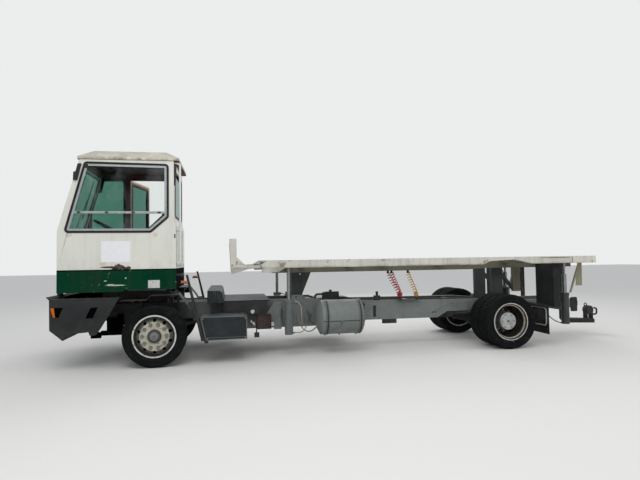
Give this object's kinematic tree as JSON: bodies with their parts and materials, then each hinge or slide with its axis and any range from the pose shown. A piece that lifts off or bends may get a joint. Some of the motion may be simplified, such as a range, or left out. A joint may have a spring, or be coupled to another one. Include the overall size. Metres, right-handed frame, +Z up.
{
  "type": "terminal tractor",
  "caption": "Terminal tractor with a narrow cab over the left front corner and a hydraulic lifting frame for swap bodies.",
  "frame": {"origin": "on the ground at the middle of the overall length and width", "axes": "+X to the rear, +Y to the vehicle's right, +Z up"},
  "size_m": [9.584, 2.47, 3.1183],
  "materials": {
    "chassis_grey": "weathered grey paint",
    "bumper_steel": "matt dark grey paint",
    "lamp_clear": "clear lens",
    "lamp_amber": "amber lens",
    "lamp_red": "red lens",
    "black_steel": "dusty black paint",
    "engine_grey": "oily grey",
    "step_plate": "dark chequer plate",
    "tank_grey": "grey paint",
    "flap_rubber": "black rubber",
    "cab_green": "dark green paint, scratched",
    "cab_white": "off-white paint",
    "roof_white": "off-white with grime",
    "glass": "green tinted",
    "seat_dark": "dark cloth and plastic",
    "door_maroon": "maroon paint",
    "lift_grey": "worn light grey paint with rust",
    "column_grey": "dark grey paint",
    "rod_steel": "ground steel",
    "tyre": "dusty rubber",
    "rim_silver": "silver paint with rust",
    "hose_red": "red plastic",
    "hose_yellow": "yellow plastic",
    "hose_black": "black rubber"
  },
  "bodies": {
    "chassis": {"chassis_rails": "chassis_grey", "cross_members": "chassis_grey", "front_bumper": "bumper_steel", "bumper_cheeks": "bumper_steel", "headlamps": "lamp_clear", "marker_lamps": "lamp_amber", "cab_mounts": "black_steel", "front_axle": "black_steel", "leaf_springs": "black_steel", "engine": "engine_grey", "rear_axle": "black_steel", "mudguards": "black_steel", "step_boxes": "step_plate", "decks": "step_plate", "side_boxes": "black_steel", "air_tank": "tank_grey", "fuel_tank": "tank_grey", "side_brackets": "chassis_grey", "lift_cylinders": "tank_grey", "mud_flaps": "flap_rubber", "flap_frames": "tank_grey", "tail_beam": "chassis_grey", "tail_lamps": "lamp_red", "coupling": "black_steel", "hose_glands": "black_steel", "oil_hoses": "hose_black", "hose_red_front": "hose_red", "hose_red_rear": "hose_red", "hose_yellow": "hose_yellow"},
    "cab": {"cab_base": "cab_green", "cab_left": "cab_white", "cab_right": "cab_white", "cab_front": "cab_white", "cab_rear": "cab_white", "cab_roof": "roof_white", "cab_windows": "glass", "cab_interior": "seat_dark", "handrails": "cab_white", "mirror_brackets": "bumper_steel"},
    "door": {"right_door": "door_maroon", "door_glass": "glass"},
    "lift": {"lift_rails": "lift_grey", "lift_beams": "lift_grey", "lift_cross": "lift_grey", "front_stops": "lift_grey", "guide_columns": "column_grey", "cylinder_rods": "rod_steel", "rear_panels": "flap_rubber"},
    "knuckle_left": {"knuckle_left": "black_steel"},
    "knuckle_right": {"knuckle_right": "black_steel"},
    "tie_rod": {"tie_rod": "black_steel"},
    "front_wheel_left": {"front_tyre_left": "tyre", "front_rim_left": "rim_silver"},
    "front_wheel_right": {"front_tyre_right": "tyre", "front_rim_right": "rim_silver"},
    "rear_wheels_left": {"rear_tyres_left": "tyre", "rear_rims_left": "rim_silver"},
    "rear_wheels_right": {"rear_tyres_right": "tyre", "rear_rims_right": "rim_silver"}
  },
  "joints": [
    {"name": "lift", "type": "slide", "parent": "chassis", "child": "lift", "axis": [0, 0, 1], "range_m": [-0.34, 0], "deforming": ["hose_red_front", "hose_red_rear", "hose_yellow"]},
    {"name": "cab_tilt", "type": "hinge", "parent": "chassis", "child": "cab", "pos_m": [-4.682, 0, 1.066], "axis": [0, -1, 0], "range_deg": [0, 55]},
    {"name": "right_door", "type": "hinge", "parent": "cab", "child": "door", "pos_m": [-3.953, 0.16, 2.01], "axis": [0, 0, 1], "range_deg": [-78.5, 5]},
    {"name": "steer_left", "type": "hinge", "parent": "chassis", "child": "knuckle_left", "pos_m": [-3.38, -0.88, 0.443], "axis": [0, 0, 1], "range_deg": [-36, 36]},
    {"name": "steer_right", "type": "hinge", "parent": "chassis", "child": "knuckle_right", "pos_m": [-3.38, 0.88, 0.443], "axis": [0, 0, 1], "range_deg": [-36, 36]},
    {"name": "tie_rod_pivot", "type": "hinge", "parent": "knuckle_left", "child": "tie_rod", "pos_m": [-3.17, -0.88, 0.308], "axis": [0, 0, 1], "range_deg": [-36, 36]},
    {"name": "front_wheel_left_spin", "type": "hinge", "parent": "knuckle_left", "child": "front_wheel_left", "pos_m": [-3.38, -1.0775, 0.443], "axis": [0, 1, 0], "continuous": true},
    {"name": "front_wheel_right_spin", "type": "hinge", "parent": "knuckle_right", "child": "front_wheel_right", "pos_m": [-3.38, 1.0775, 0.443], "axis": [0, 1, 0], "continuous": true},
    {"name": "rear_wheels_left_spin", "type": "hinge", "parent": "chassis", "child": "rear_wheels_left", "pos_m": [2.185, -1.0775, 0.443], "axis": [0, 1, 0], "continuous": true},
    {"name": "rear_wheels_right_spin", "type": "hinge", "parent": "chassis", "child": "rear_wheels_right", "pos_m": [2.185, 1.0775, 0.443], "axis": [0, 1, 0], "continuous": true}
  ],
  "couplings": [
    {"joint": "steer_right", "follows": "steer_left", "ratio": 1},
    {"joint": "tie_rod_pivot", "follows": "steer_left", "ratio": -1}
  ]
}
